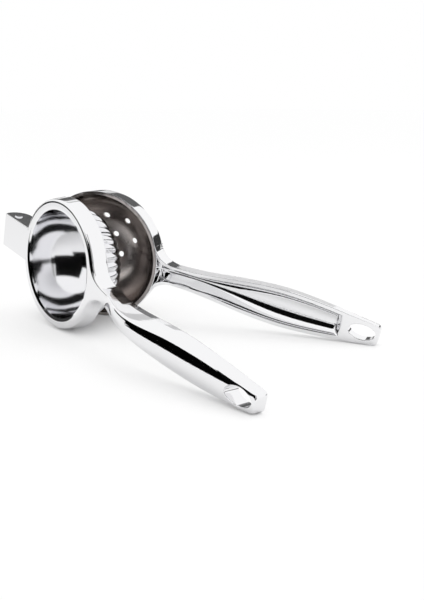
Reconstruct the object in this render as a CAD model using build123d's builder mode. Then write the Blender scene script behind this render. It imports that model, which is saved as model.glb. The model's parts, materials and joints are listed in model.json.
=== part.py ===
from build123d import *
import math
import os

os.makedirs("parts", exist_ok=True)

# A hand squeezer for citrus fruit, standing open on its edge.
# Each arm is drawn in its own hinge frame: X runs from the hinge to the handle tip, Z is the hinge axis.
# With the arms shut the press side is at -Y and the strainer side at +Y.

# Outline of the arms: ring, neck, grip and tip
ring_radius = 38.0
hinge_reach = 17.0
neck_reach = 10.0
grip_reach = 60.0
arm_length = 221.0
tip_taper = 6.0
tip_corner = 2.6
ring_draft = 2.3
loft_span = 18.5
press_neck_half = 4.9
press_grip_half = 11.5
press_draft = 5.05
press_neck_draft = 2.0
press_tip_draft = 1.5
strainer_neck_half = 5.65
strainer_grip_half = 11.0
strainer_tip_half = 6.43
strainer_draft = 2.0

# Depths measured from the hinge axis
rim_depth = 4.5
front_depth = 5.0

# Opening of the arms in the resting position
opening_angle = 27.5

# Press arm side view: the grip has a crown that is round across
crown_gap = 5.0
crown_rise = 28.0
crown_depth = 13.4
crown_middle_depth = 14.0
crown_round = 18.0
press_tip_front = 6.9
press_tip_slope = 12.0
gusset_reach = 3.0
back_fall = 19.0
press_back_start = -1.0
press_back_middle = -3.4
press_tip_back = -0.2

# Ring of the press arm
opening_margin = 7.3
bore_step = 2.5
front_lip = 2.4
lip_bevel = 1.0

# Handle troughs
wall = 2.0
trough_gap = 3.2
trough_floor = 2.4
press_trough_half = 8.7
strainer_trough_half = 8.2
trough_corner = 1.2
least_waist = 0.6

# Hanging eyes
eye_from_tip = 9.0
eye_length = 14.6
eye_width = 8.0

# Hinge
knuckle_radius = 9.0
knuckle_height = 20.0
knuckle_root = 4.0
slot_height = 10.0
slot_front = 4.0
tongue_gap = 0.3
tongue_radius = 3.7
pin_radius = 1.9
pin_running_clearance = 0.05
pin_head_radius = 2.5
pin_head_height = 0.6
tongue_back = 9.6
tongue_toe = 2.5

# Ribbed dome
rib_count = 36
points_per_rib = 4
rib_height = 1.3
dome_step = 0.6
dome_drop = 6.7
flange_overlap = 1.8
dome_flange = 2.0
dome_nose_angle = 68.0
dome_levels = 6
hollow_straight = 5.0
nose_wall = 2.1
nose_step = 0.3

# Strainer ring and bowl
strainer_ring_depth = 12.0
bowl_margin = 2.2
bowl_sheet = 1.2
bowl_lip_margin = 0.7
bowl_lip = 0.8
drain_radius = 1.8
drain_count = 6
drain_circle = 13.2
drain_start = -55.0
drain_shift_u = -7.4
drain_shift_w = 3.4

# Strainer arm side view
strainer_rim_drop = 1.0
strainer_tip_rim = 9.8
strainer_back_middle = 16.8
tab_thickness = 4.8

# Seats
seat_clearance = 0.05
past = 1.0

# Derived sizes
hinge_to_ring = ring_radius + hinge_reach
ring_near = hinge_to_ring - ring_radius
ring_far = hinge_to_ring + ring_radius
neck_middle = ring_far + neck_reach
grip_middle = neck_middle + grip_reach
crown_from = ring_far + crown_gap
crown_start = crown_from + crown_rise
gusset_end = neck_middle + gusset_reach
eye_middle = arm_length - eye_from_tip
trough_end = eye_middle - eye_length / 2 - trough_gap
opening_radius = ring_radius - opening_margin
dome_bore_radius = opening_radius + bore_step
dome_radius = dome_bore_radius - dome_step
dome_height = opening_radius - dome_drop
dome_flange_radius = dome_bore_radius + flange_overlap
bowl_radius = ring_radius - bowl_margin
bowl_lip_radius = ring_radius - bowl_lip_margin
loft_depth = loft_span - rim_depth
half_opening = math.radians(opening_angle / 2)
press_tip_slant = press_tip_draft / loft_span
strainer_slope = strainer_draft / loft_span
handle_rim = rim_depth + strainer_rim_drop
strainer_tip_low = strainer_tip_half - strainer_slope * (strainer_tip_rim - rim_depth)
pin_hole_radius = pin_radius + pin_running_clearance

# The rest plane touches the lowest point of each ring and the lowest corner of each handle tip
run = arm_length - tip_corner - hinge_to_ring - (strainer_tip_rim - rim_depth) * math.tan(half_opening)
rise = strainer_tip_low - tip_corner
lean = math.asin((ring_radius - tip_corner) / math.hypot(run, rise)) - math.atan2(rise, run)
slope = math.tan(lean)
stretch = math.hypot(1.0, slope)
tilt = math.atan(slope / math.cos(half_opening))
floor_level = ring_radius * stretch + slope * (hinge_to_ring - rim_depth * math.tan(half_opening))
press_ring_reach = hinge_to_ring + rim_depth * math.tan(half_opening)
press_ring_radius = (floor_level - slope * press_ring_reach) / stretch
press_tip_reach = arm_length - tip_corner + press_tip_back * math.tan(half_opening)
press_tip_low = floor_level - slope * press_tip_reach - tip_corner * (stretch - 1)
press_tip_half = press_tip_low + press_tip_slant * (rim_depth - press_tip_back)

# Drawing planes: both are drawn with X along the arm and the second axis along the hinge axis
press_rim_plane = Plane(origin=(0, rim_depth, 0), x_dir=(1, 0, 0), z_dir=(0, -1, 0))
press_front_plane = Plane(origin=(0, -loft_depth, 0), x_dir=(1, 0, 0), z_dir=(0, -1, 0))
strainer_rim_plane = Plane(origin=(0, rim_depth, 0), x_dir=(1, 0, 0), z_dir=(0, 1, 0))
strainer_back_plane = Plane(origin=(0, rim_depth + loft_span, 0), x_dir=(1, 0, 0), z_dir=(0, 1, 0))
dome_axis = Axis((hinge_to_ring, 0, 0), (0, 1, 0))
slant = math.sqrt(0.5)
turning_plane = Plane(origin=(hinge_to_ring, 0, 0), x_dir=(slant, 0, slant), z_dir=(-slant, 0, slant))


def arm_outline(plane, radius, halves, inset, end_u, corner):
    """Outline of an arm: round ring, hollow neck, swelling grip, blunt tip with round corners."""
    neck_half, grip_half, end_half = halves
    waist = max(neck_half - inset, least_waist)
    swell = grip_half - inset
    neck_run = neck_middle - hinge_to_ring
    neck_round = (neck_run**2 + waist**2 - radius**2) / (2 * (radius - waist))
    neck_angle = math.atan2(waist + neck_round, neck_run)
    meet = (hinge_to_ring + radius * math.cos(neck_angle), radius * math.sin(neck_angle))
    bend_angle = (neck_angle + math.pi / 2) / 2
    bend_u = neck_middle - neck_round * math.cos(bend_angle)
    bend_w = waist + neck_round - neck_round * math.sin(bend_angle)
    corner_u = end_u - corner
    corner_w = end_half - inset - corner
    side = math.radians(tip_taper)
    side_end = (corner_u + corner * math.sin(side), corner_w + corner * math.cos(side))
    turn = (side + math.pi / 2) / 2
    corner_bend = (corner_u + corner * math.sin(turn), corner_w + corner * math.cos(turn))
    with BuildSketch(plane) as outline:
        with BuildLine():
            ThreePointArc((hinge_to_ring - radius, 0), (hinge_to_ring, radius), meet)
            ThreePointArc(meet, (bend_u, bend_w), (neck_middle, waist))
            Spline(
                (neck_middle, waist),
                (grip_middle, swell),
                side_end,
                tangents=((1, 0), (math.cos(side), -math.sin(side))),
            )
            ThreePointArc(side_end, corner_bend, (end_u, corner_w))
            Line((end_u, corner_w), (end_u, 0))
            mirror(about=Plane.XZ)
        make_face()
    return outline.sketch


press_halves = (press_neck_half, press_grip_half, press_tip_half)
press_rim_outline = arm_outline(
    press_rim_plane, press_ring_radius, press_halves, 0.0, arm_length, tip_corner
)
press_front_halves = (
    press_neck_half + press_draft - press_neck_draft,
    press_grip_half,
    press_tip_half + press_draft - press_tip_draft,
)
press_front_outline = arm_outline(
    press_front_plane,
    press_ring_radius - ring_draft,
    press_front_halves,
    press_draft,
    arm_length,
    tip_corner,
)
press_trough_halves = (press_neck_half, press_grip_half, press_trough_half)
press_trough_rim = arm_outline(
    press_rim_plane, press_ring_radius - wall, press_trough_halves, wall, trough_end, trough_corner
)
press_trough_floor = arm_outline(
    press_front_plane,
    press_ring_radius - wall,
    press_trough_halves,
    wall + press_draft,
    trough_end,
    trough_corner,
)

# Front of the press arm: flat over ring and neck, then a round crown that follows an arched line
tip_dive = math.radians(press_tip_slope)
with BuildPart() as press_front:
    with BuildSketch(Plane.XY):
        with Locations((-knuckle_radius, -front_depth)):
            Rectangle(
                knuckle_radius + crown_from + past,
                front_depth + rim_depth + past,
                align=(Align.MIN, Align.MIN),
            )
    extrude(amount=ring_radius + past, both=True)
    with BuildLine() as crown_line:
        Spline(
            (crown_from, crown_round - front_depth),
            (crown_start, crown_round - crown_depth),
            (grip_middle, crown_round - crown_middle_depth),
            (arm_length + past, crown_round - press_tip_front),
            tangents=((1, 0), (math.cos(tip_dive), math.sin(tip_dive))),
        )
    with BuildSketch(Plane(origin=(crown_from, crown_round - front_depth, 0), z_dir=(1, 0, 0))):
        Circle(crown_round)
    sweep(path=crown_line.line)

# Back of the press arm: level behind the ring, hollowed behind the grip
with BuildPart() as press_back:
    with BuildSketch(Plane.XY):
        with BuildLine():
            Polyline(
                (gusset_end, rim_depth),
                (-past, rim_depth),
                (-past, -loft_depth),
                (arm_length + past, -loft_depth),
                (arm_length + past, press_tip_back),
            )
            Spline(
                (arm_length + past, press_tip_back),
                (grip_middle, press_back_middle),
                (gusset_end + back_fall, press_back_start),
                (gusset_end, rim_depth),
            )
        make_face()
    extrude(amount=ring_radius + past, both=True)

# Room inside the press handle: everything behind the crowned front wall
with BuildPart() as press_trough:
    loft([press_trough_rim, press_trough_floor], ruled=True)
    with BuildSketch(Plane.XY):
        with BuildLine():
            Spline(
                (crown_from, trough_floor - front_depth),
                (crown_start, trough_floor - crown_depth),
                (grip_middle, trough_floor - crown_middle_depth),
                (arm_length, trough_floor - press_tip_front),
                tangents=((1, 0), (math.cos(tip_dive), math.sin(tip_dive))),
            )
            Polyline(
                (arm_length, trough_floor - press_tip_front),
                (arm_length, rim_depth + past),
                (hinge_to_ring, rim_depth + past),
                (hinge_to_ring, trough_floor - front_depth),
                (crown_from, trough_floor - front_depth),
            )
        make_face()
    extrude(amount=ring_radius, both=True, mode=Mode.INTERSECT)
    with BuildSketch(press_rim_plane):
        with Locations((hinge_to_ring, 0)):
            Circle(press_ring_radius)
    extrude(amount=loft_span, mode=Mode.SUBTRACT)

# Press arm
with BuildPart() as press_arm:
    loft([press_rim_outline, press_front_outline], ruled=True)
    add(press_front.part, mode=Mode.INTERSECT)
    add(press_back.part, mode=Mode.INTERSECT)
    add(press_trough.part, mode=Mode.SUBTRACT)
    with BuildSketch(Plane.XY):
        Circle(knuckle_radius)
        with Locations((0, -front_depth)):
            Rectangle(
                knuckle_radius * 2,
                knuckle_radius,
                align=(Align.CENTER, Align.MAX),
                mode=Mode.SUBTRACT,
            )
            Rectangle(
                ring_near + knuckle_root,
                front_depth + rim_depth,
                align=(Align.MIN, Align.MIN),
            )
    extrude(amount=knuckle_height / 2, both=True)
    with BuildSketch(Plane.XY):
        with Locations((-knuckle_radius - past, -slot_front)):
            Rectangle(
                knuckle_radius + past + ring_near - wall,
                slot_front + knuckle_radius + past,
                align=(Align.MIN, Align.MIN),
            )
    extrude(amount=slot_height / 2, both=True, mode=Mode.SUBTRACT)
    with BuildSketch(Plane.XY):
        Circle(pin_radius)
    extrude(amount=knuckle_height, both=True, mode=Mode.SUBTRACT)
    with BuildSketch(turning_plane):
        with BuildLine():
            Polyline(
                (0, -front_depth - past),
                (opening_radius + lip_bevel + past, -front_depth - past),
                (opening_radius, -front_depth + lip_bevel),
                (opening_radius, rim_depth + past),
                (0, rim_depth + past),
                close=True,
            )
        make_face()
    revolve(axis=dome_axis, mode=Mode.SUBTRACT)
    with BuildSketch(press_rim_plane):
        with Locations((hinge_to_ring, 0)):
            Circle(dome_bore_radius)
    extrude(amount=rim_depth + front_depth - front_lip, mode=Mode.SUBTRACT)
    with BuildSketch(press_front_plane):
        with Locations((eye_middle, 0)):
            Ellipse(eye_length / 2, eye_width / 2)
    extrude(amount=-loft_span * 2, mode=Mode.SUBTRACT)
press_arm.part.label = "press_arm"

# Ribbed dome: scalloped rings stacked along an elliptical dome
rib_rings = []
for level in range(dome_levels):
    rise_angle = math.radians(dome_nose_angle * level / (dome_levels - 1))
    ring_size = dome_radius * math.cos(rise_angle)
    ring_depth = rim_depth + dome_flange + dome_height * math.sin(rise_angle)
    scallop = rib_height * math.cos(rise_angle)
    step = 2 * math.pi / (rib_count * points_per_rib)
    ring_points = []
    for place in range(rib_count * points_per_rib):
        swing = abs(math.sin(math.pi * (place + 0.5) / points_per_rib))
        reach = ring_size - scallop * (1 - swing)
        ring_points.append((reach * math.cos(place * step), reach * math.sin(place * step)))
    level_plane = Plane(origin=(hinge_to_ring, ring_depth, 0), x_dir=(1, 0, 0), z_dir=(0, 1, 0))
    with BuildSketch(level_plane) as rib_ring:
        with BuildLine():
            Spline(*ring_points, periodic=True)
        make_face()
    rib_rings.append(rib_ring.sketch)

nose_angle = math.radians(dome_nose_angle)
nose_radius = (dome_radius - rib_height) * math.cos(nose_angle) - nose_step
nose_depth = rim_depth + dome_flange + dome_height * math.sin(nose_angle)
nose_height = dome_height * (1 - math.sin(nose_angle))
nose_ball = (nose_radius**2 + nose_height**2) / (2 * nose_height)
nose_turn = math.asin(nose_radius / nose_ball) / 2
dome_tip = nose_depth + nose_height
dome_back = front_lip - front_depth
hollow_start = dome_back + hollow_straight
hollow_tip = dome_tip - nose_wall
hollow_depth = hollow_tip - hollow_start
hollow_ball = (opening_radius**2 + hollow_depth**2) / (2 * hollow_depth)
hollow_turn = math.asin(opening_radius / hollow_ball) / 2
hollow_bend = (hollow_ball * math.sin(hollow_turn), hollow_tip - hollow_ball * (1 - math.cos(hollow_turn)))

with BuildPart() as press_dome:
    loft(rib_rings)
    with BuildSketch(turning_plane):
        with BuildLine():
            collar = dome_bore_radius - seat_clearance
            Polyline(
                (0, dome_back),
                (collar, dome_back),
                (collar, rim_depth),
                (dome_flange_radius, rim_depth),
                (dome_flange_radius, rim_depth + dome_flange),
                (0, rim_depth + dome_flange),
                close=True,
            )
        make_face()
    revolve(axis=dome_axis)
    with BuildSketch(turning_plane):
        with BuildLine():
            ThreePointArc(
                (nose_radius, nose_depth),
                (nose_ball * math.sin(nose_turn), dome_tip - nose_ball * (1 - math.cos(nose_turn))),
                (0, dome_tip),
            )
            Polyline(
                (0, dome_tip),
                (0, nose_depth - past),
                (nose_radius, nose_depth - past),
                (nose_radius, nose_depth),
            )
        make_face()
    revolve(axis=dome_axis)
    with BuildSketch(turning_plane):
        with BuildLine():
            Polyline(
                (0, hollow_tip),
                (0, dome_back),
                (opening_radius, dome_back),
                (opening_radius, hollow_start),
            )
            ThreePointArc(
                (opening_radius, hollow_start),
                hollow_bend,
                (0, hollow_tip),
            )
        make_face()
    revolve(axis=dome_axis, mode=Mode.SUBTRACT)
press_dome.part.label = "press_dome"

# Perforated bowl of the strainer arm: a hemisphere of sheet with a flat lip
with BuildPart() as strainer_bowl:
    with BuildSketch(turning_plane):
        with BuildLine():
            CenterArc((0, rim_depth), bowl_radius, 0, 90)
            Line((0, rim_depth + bowl_radius), (0, rim_depth + bowl_radius + bowl_sheet))
            CenterArc((0, rim_depth), bowl_radius + bowl_sheet, 0, 90)
            Line((bowl_radius + bowl_sheet, rim_depth), (bowl_radius, rim_depth))
        make_face()
        with Locations((bowl_radius + bowl_sheet / 2, rim_depth)):
            Rectangle(
                bowl_lip_radius - bowl_radius - bowl_sheet / 2,
                bowl_lip,
                align=(Align.MIN, Align.MIN),
            )
    revolve(axis=dome_axis)
    with BuildSketch(strainer_rim_plane):
        with Locations((hinge_to_ring + drain_shift_u, -drain_shift_w)):
            Circle(drain_radius)
            with PolarLocations(drain_circle, drain_count, start_angle=drain_start):
                Circle(drain_radius)
    extrude(amount=bowl_radius + bowl_lip_radius, mode=Mode.SUBTRACT)
strainer_bowl.part.label = "strainer_bowl"

strainer_halves = (strainer_neck_half, strainer_grip_half, strainer_tip_half)
strainer_rim_outline = arm_outline(
    strainer_rim_plane, ring_radius, strainer_halves, 0.0, arm_length, tip_corner
)
strainer_back_outline = arm_outline(
    strainer_back_plane, ring_radius - ring_draft, strainer_halves, strainer_draft, arm_length, tip_corner
)
strainer_trough_halves = (strainer_neck_half, strainer_grip_half, strainer_trough_half)
strainer_trough_rim = arm_outline(
    strainer_rim_plane, ring_radius - wall, strainer_trough_halves, wall, trough_end, trough_corner
)
strainer_trough_floor = arm_outline(
    strainer_back_plane,
    ring_radius - wall,
    strainer_trough_halves,
    wall + strainer_draft,
    trough_end,
    trough_corner,
)
ring_back = rim_depth + strainer_ring_depth
tab_back = strainer_tip_rim + tab_thickness

# Side view of the strainer arm: deep ring, handle rim set a little back, arched back, thin tab
with BuildPart() as strainer_side:
    with BuildSketch(Plane.XY):
        with BuildLine():
            Polyline(
                (neck_middle, ring_back),
                (-past, ring_back),
                (-past, rim_depth),
                (ring_far, rim_depth),
                (neck_middle, handle_rim),
                (arm_length, strainer_tip_rim),
                (arm_length + past, strainer_tip_rim),
                (arm_length + past, tab_back),
            )
            ThreePointArc(
                (arm_length + past, tab_back),
                (grip_middle, strainer_back_middle),
                (neck_middle, ring_back),
            )
        make_face()
    extrude(amount=ring_radius + past, both=True)

# Room inside the strainer handle
with BuildPart() as strainer_trough:
    loft([strainer_trough_rim, strainer_trough_floor], ruled=True)
    with BuildSketch(Plane.XY):
        with BuildLine():
            Polyline(
                (arm_length, tab_back - trough_floor),
                (arm_length, rim_depth - past),
                (hinge_to_ring, rim_depth - past),
                (hinge_to_ring, ring_back - trough_floor),
                (neck_middle, ring_back - trough_floor),
            )
            ThreePointArc(
                (neck_middle, ring_back - trough_floor),
                (grip_middle, strainer_back_middle - trough_floor),
                (arm_length, tab_back - trough_floor),
            )
        make_face()
    extrude(amount=ring_radius, both=True, mode=Mode.INTERSECT)
    with BuildSketch(strainer_rim_plane):
        with Locations((hinge_to_ring, 0)):
            Circle(ring_radius)
    extrude(amount=loft_span, mode=Mode.SUBTRACT)

# Strainer arm
with BuildPart() as strainer_arm:
    loft([strainer_rim_outline, strainer_back_outline], ruled=True)
    add(strainer_side.part, mode=Mode.INTERSECT)
    add(strainer_trough.part, mode=Mode.SUBTRACT)
    with BuildSketch(Plane.XY):
        Circle(tongue_radius)
        with BuildLine():
            Polyline(
                (-tongue_radius, 0),
                (-tongue_toe, tongue_back),
                (ring_near + knuckle_root, tongue_back + wall),
                (ring_near + knuckle_root, rim_depth + tongue_gap),
                (tongue_radius, rim_depth + tongue_gap),
                (tongue_radius, 0),
                close=True,
            )
        make_face()
    extrude(amount=slot_height / 2 - tongue_gap, both=True)
    with BuildSketch(Plane.XY):
        Circle(pin_hole_radius)
    extrude(amount=knuckle_height, both=True, mode=Mode.SUBTRACT)
    with Locations((hinge_to_ring, rim_depth, 0)):
        Sphere(bowl_radius + bowl_sheet + seat_clearance, mode=Mode.SUBTRACT)
    with BuildSketch(strainer_rim_plane):
        with Locations((hinge_to_ring, 0)):
            Circle(bowl_lip_radius + seat_clearance)
    extrude(amount=bowl_lip, mode=Mode.SUBTRACT)
    with BuildSketch(strainer_rim_plane):
        with Locations((eye_middle, 0)):
            Ellipse(eye_length / 2, eye_width / 2)
    extrude(amount=loft_span * 2, mode=Mode.SUBTRACT)
strainer_arm.part.label = "strainer_arm"

# Hinge pin with two low domed heads
with BuildPart() as hinge_pin:
    with BuildSketch(Plane.XZ):
        with BuildLine():
            Polyline(
                (0, -knuckle_height / 2 - pin_head_height),
                (pin_radius, -knuckle_height / 2 - pin_head_height),
                (pin_head_radius, -knuckle_height / 2),
                (pin_radius, -knuckle_height / 2),
                (pin_radius, knuckle_height / 2),
                (pin_head_radius, knuckle_height / 2),
                (pin_radius, knuckle_height / 2 + pin_head_height),
                (0, knuckle_height / 2 + pin_head_height),
                close=True,
            )
        make_face()
    revolve(axis=Axis.Z)
hinge_pin.part.label = "hinge_pin"

# Rest position: arms half open to each side of the middle, hinge axis leaning until rings and tips touch
press_turn = Rotation(0, math.degrees(tilt), 0) * Rotation(0, 0, -opening_angle / 2)
strainer_turn = Rotation(0, math.degrees(tilt), 0) * Rotation(0, 0, opening_angle / 2)
press_box = press_arm.part.moved(press_turn).bounding_box()
strainer_box = strainer_arm.part.moved(strainer_turn).bounding_box()
bowl_box = strainer_bowl.part.moved(strainer_turn).bounding_box()
boxes = (press_box, strainer_box, bowl_box)
low_x = min(box.min.X for box in boxes)
high_x = max(box.max.X for box in boxes)
low_y = min(box.min.Y for box in boxes)
high_y = max(box.max.Y for box in boxes)
low_z = min(box.min.Z for box in boxes)
seat = Location((-(low_x + high_x) / 2, -(low_y + high_y) / 2, -low_z))

press_arm.part.locate(seat * press_turn)
press_dome.part.locate(seat * press_turn)
hinge_pin.part.locate(seat * press_turn)
strainer_arm.part.locate(seat * strainer_turn)
strainer_bowl.part.locate(seat * strainer_turn)

export_step(press_arm.part, "parts/press_arm.step")
export_step(press_dome.part, "parts/press_dome.step")
export_step(hinge_pin.part, "parts/hinge_pin.step")
export_step(strainer_arm.part, "parts/strainer_arm.step")
export_step(strainer_bowl.part, "parts/strainer_bowl.step")
print("hinge at", seat.position, "lean", math.degrees(tilt))
print("floor gaps", [box.min.Z - low_z for box in boxes])
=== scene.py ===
# %% [markdown]
# A citrus press juicer: two bright cast arms on one pinned hinge, standing open on its edge. The
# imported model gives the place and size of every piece, and its meshes could simply be shown. The
# arms and the dome are drawn again here with finer rows of faces, because a mirror finish shows
# every facet.

import json
import math

import bmesh
import bpy
from mathutils import Matrix, Vector


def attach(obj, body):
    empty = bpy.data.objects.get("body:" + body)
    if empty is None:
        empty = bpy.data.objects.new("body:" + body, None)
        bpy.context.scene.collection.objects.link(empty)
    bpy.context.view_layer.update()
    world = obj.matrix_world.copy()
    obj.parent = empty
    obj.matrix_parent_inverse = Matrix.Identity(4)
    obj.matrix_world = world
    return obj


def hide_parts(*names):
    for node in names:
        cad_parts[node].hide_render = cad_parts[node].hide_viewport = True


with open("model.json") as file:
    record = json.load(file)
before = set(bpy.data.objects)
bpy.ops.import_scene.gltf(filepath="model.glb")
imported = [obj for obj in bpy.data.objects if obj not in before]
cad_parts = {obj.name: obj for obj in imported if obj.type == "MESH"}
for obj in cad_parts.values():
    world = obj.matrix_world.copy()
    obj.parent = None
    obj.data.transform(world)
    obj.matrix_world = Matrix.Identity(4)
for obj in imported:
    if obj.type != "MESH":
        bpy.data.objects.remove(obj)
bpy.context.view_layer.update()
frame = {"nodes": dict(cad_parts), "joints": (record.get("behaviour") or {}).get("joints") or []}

# %% [markdown]
# The hinge pin leans, because the rings and both handle tips rest on the floor. Its place and lean
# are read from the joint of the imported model, so nothing is measured twice. Each arm is then drawn
# flat in its own millimetres, with the hinge at zero, and one matrix carries it to its place in
# metres.

# %% Hinge frame of each arm
HALF_OPEN = math.radians(13.75)
MM = 0.001
joint = frame["joints"][0]
hinge = Vector(joint["pos_m"])
lean = math.atan2(-joint["axis"][0], -joint["axis"][2])


def arm_matrix(turn):
    """Local millimetres of an arm to metres of the model."""
    spin = Matrix.Rotation(lean, 4, "Y") @ Matrix.Rotation(turn, 4, "Z")
    return Matrix.Translation(hinge) @ spin @ Matrix.Scale(MM, 4)


PRESS = arm_matrix(-HALF_OPEN)
STRAINER = arm_matrix(HALF_OPEN)
print("hinge at", [round(v, 4) for v in hinge], "lean", round(math.degrees(lean), 2))

# %% [markdown]
# Cast metal has few sudden changes, so its sizes run smoothly from one place to the next. Curve
# objects could be drawn for that, but short formulas are easier to share between two arms: a
# straight mix of two values, a soft step, and a curve through a few points with a given slope at
# each end.

# %% Smooth curves
SPLINE_PASSES = 40


def mix(a, b, t):
    """The value that lies the share t of the way from a to b."""
    return a + (b - a) * t


def smooth(a, b, x):
    """A soft step: 0 up to a, 1 from b on."""
    t = min(max((x - a) / (b - a), 0.0), 1.0)
    return t * t * (3 - 2 * t)


def hermite(x0, y0, m0, x1, y1, m1, x):
    """A cubic between two points with a slope at each."""
    h = x1 - x0
    t = (x - x0) / h
    return (
        y0 * (1 + 2 * t) * (1 - t) ** 2
        + m0 * h * t * (1 - t) ** 2
        + y1 * t * t * (3 - 2 * t)
        + m1 * h * t * t * (t - 1)
    )


def spline(points, start, end, x):
    """A smooth curve through three or four points with given end slopes."""
    count = len(points)
    slopes = [start] + [0.0] * (count - 2) + [end]
    for _ in range(SPLINE_PASSES):
        for i in range(1, count - 1):
            (x0, y0), (x1, y1), (x2, y2) = points[i - 1 : i + 2]
            h0, h1 = x1 - x0, x2 - x1
            pull = 3 * ((y1 - y0) / h0**2 + (y2 - y1) / h1**2)
            pull = pull - slopes[i - 1] / h0 - slopes[i + 1] / h1
            slopes[i] = pull / (2 * (1 / h0 + 1 / h1))
    for i in range(count - 1):
        if x <= points[i + 1][0] or i == count - 2:
            return hermite(*points[i], slopes[i], *points[i + 1], slopes[i + 1], x)


print("a soft step, a quarter of the way along:", smooth(0, 1, 0.25))

# %% [markdown]
# Seen from the side, an arm is one flowing outline: a round ring, a hollow curve into a slim neck,
# a swelling grip and a squared tip with rounded corners. Sizes are in millimetres: u runs from the
# hinge to the tip, v is the depth through the arm and w is along the hinge. An arm is the same
# above and below its middle line, so only the upper half is drawn, and a mirror image makes the
# lower one.

# %% Outline of an arm
RING_U = 55.0
NECK_U = 103.0
GRIP_U = 163.0
FINE_U = 200.0
END_U = 221.0
CORNER = 2.6
TAPER = math.radians(6.0)
LEAST_WAIST = 0.6
RING_STEPS = 110
NECK_STEPS = 30
GRIP_STEPS = 96
TIP_STEPS = 44
CORNER_STEPS = 8
END_STEPS = 8
FIRST_GRIP = RING_STEPS + NECK_STEPS
FIRST_CORNER = FIRST_GRIP + GRIP_STEPS + TIP_STEPS
STRAINER_RING = 38.0
STRAINER_HALVES = (5.65, 11.0, 6.43)


def outline(radius, halves, inset):
    """Upper half of an arm, from the hinge side of the ring to the middle of the tip."""
    neck_half, grip_half, tip_half = halves
    waist = max(neck_half - inset, LEAST_WAIST)
    run = NECK_U - RING_U
    bend = (run**2 + waist**2 - radius**2) / (2 * (radius - waist))
    angle = math.atan2(waist + bend, run)
    corner_w = tip_half - inset - CORNER
    side_u = END_U - CORNER + CORNER * math.sin(TAPER)
    side_w = corner_w + CORNER * math.cos(TAPER)
    side = ((NECK_U, waist), (GRIP_U, grip_half - inset), (side_u, side_w))
    points = []
    for i in range(RING_STEPS):
        a = mix(math.pi, angle, i / RING_STEPS)
        points.append((RING_U + radius * math.cos(a), radius * math.sin(a)))
    for i in range(NECK_STEPS):
        a = mix(angle, math.pi / 2, i / NECK_STEPS)
        points.append((NECK_U - bend * math.cos(a), waist + bend - bend * math.sin(a)))
    along = [mix(NECK_U, FINE_U, i / GRIP_STEPS) for i in range(GRIP_STEPS)]
    along += [mix(FINE_U, side_u, i / TIP_STEPS) for i in range(TIP_STEPS)]
    points += [(u, spline(side, 0.0, -math.tan(TAPER), u)) for u in along]
    for i in range(CORNER_STEPS):
        a = mix(TAPER, math.pi / 2, i / CORNER_STEPS)
        points.append((END_U - CORNER + CORNER * math.sin(a), corner_w + CORNER * math.cos(a)))
    points += [(END_U, corner_w * (1 - i / END_STEPS)) for i in range(END_STEPS + 1)]
    return points, angle


print("outline points", len(outline(STRAINER_RING, STRAINER_HALVES, 0.0)[0]))

# %% [markdown]
# An arm is pierced twice: the dome or the bowl sits in the ring, and an oval eye in the tip takes
# a hook. Holes could be cut with a boolean, but that leaves ragged faces that a mirror shows at
# once. So each point of the outline gets a partner: on the edge of a hole where there is one, and
# elsewhere on the middle line. The faces then run from partner to partner, and the holes are
# simply left open.

# %% Inner partners of the outline
WEB_STEPS = 8
WEB_U = 97.0
WEB_PACE = 0.6
WEB_EVEN_U = 118.0
EYE_U = 212.0
EYE_LONG = 7.3
EYE_WIDE = 4.0


def inner_path(points, angle, radius, lead):
    """Partner and kind of every point: hole edge on ring and eye, middle line (web) elsewhere."""
    path = []
    for i, (u, _) in enumerate(points):
        into_neck = (i - RING_STEPS) / (NECK_STEPS - WEB_STEPS)
        if into_neck <= 1.0:
            round_ring = mix(math.pi, angle, i / RING_STEPS)
            a = round_ring if i < RING_STEPS else angle * (1 - into_neck)
            path.append((RING_U + radius * math.cos(a), radius * math.sin(a), "ring"))
        elif i < FIRST_GRIP:
            along = (i - FIRST_GRIP + WEB_STEPS) / WEB_STEPS
            path.append((mix(RING_U + radius + lead, WEB_U, along), 0.0, "web"))
        else:
            behind = WEB_U + (u - NECK_U) * WEB_PACE
            path.append((mix(behind, u, smooth(NECK_U, WEB_EVEN_U, u)), 0.0, "web"))
    left, right = EYE_U - EYE_LONG, EYE_U + EYE_LONG
    inside = [i for i in range(FIRST_GRIP, FIRST_CORNER) if left <= points[i][0] <= right]
    for k, i in enumerate(inside):
        a = math.pi * (1 - k / (len(inside) - 1))
        path[i] = (EYE_U + EYE_LONG * math.cos(a), EYE_WIDE * math.sin(a), "eye")
    last, end = inside[-1], len(points) - 1
    for i in range(last + 1, end + 1):
        path[i] = (mix(right, END_U, (i - last) / (end - last)), 0.0, "web")
    return path


print("eye", 2 * EYE_LONG, "by", 2 * EYE_WIDE, "mm, its middle", EYE_U, "mm from the hinge")

# %% [markdown]
# The sides of a casting are drafted, which means that they lean a little so that it leaves its
# mould, and its edges are softened by polishing. A bevel modifier could round the edges, but its
# width is hard to steer along a changing form. So the walls and the small rounds are worked out
# point by point.

# %% Drafted walls and soft edges
RIM = 4.5
SPAN = 18.5
TO_FRONT, TO_BACK = -1.0, 1.0
NO_REACH = 0.01


def wall_point(rim, deep, way, v):
    """Point at depth v on a wall that leans from the rim's outline to the deep one."""
    t = way * (v - RIM) / SPAN
    return Vector((mix(rim[0], deep[0], t), v, mix(rim[1], deep[1], t)))


def inward_of(partner, point):
    """Flat direction and distance from a point to its partner."""
    flat = Vector((partner[0] - point.x, 0, partner[1] - point.z))
    return flat.normalized() if flat.length > NO_REACH else Vector((0, 0, -1)), flat.length


def bend_corner(start, corner, end, steps):
    """Points of a soft round between two edges, without the end points."""
    found = []
    for k in range(1, steps):
        s = k / steps
        found.append(start * (1 - s) ** 2 + corner * (2 * s * (1 - s)) + end * s * s)
    return found


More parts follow.
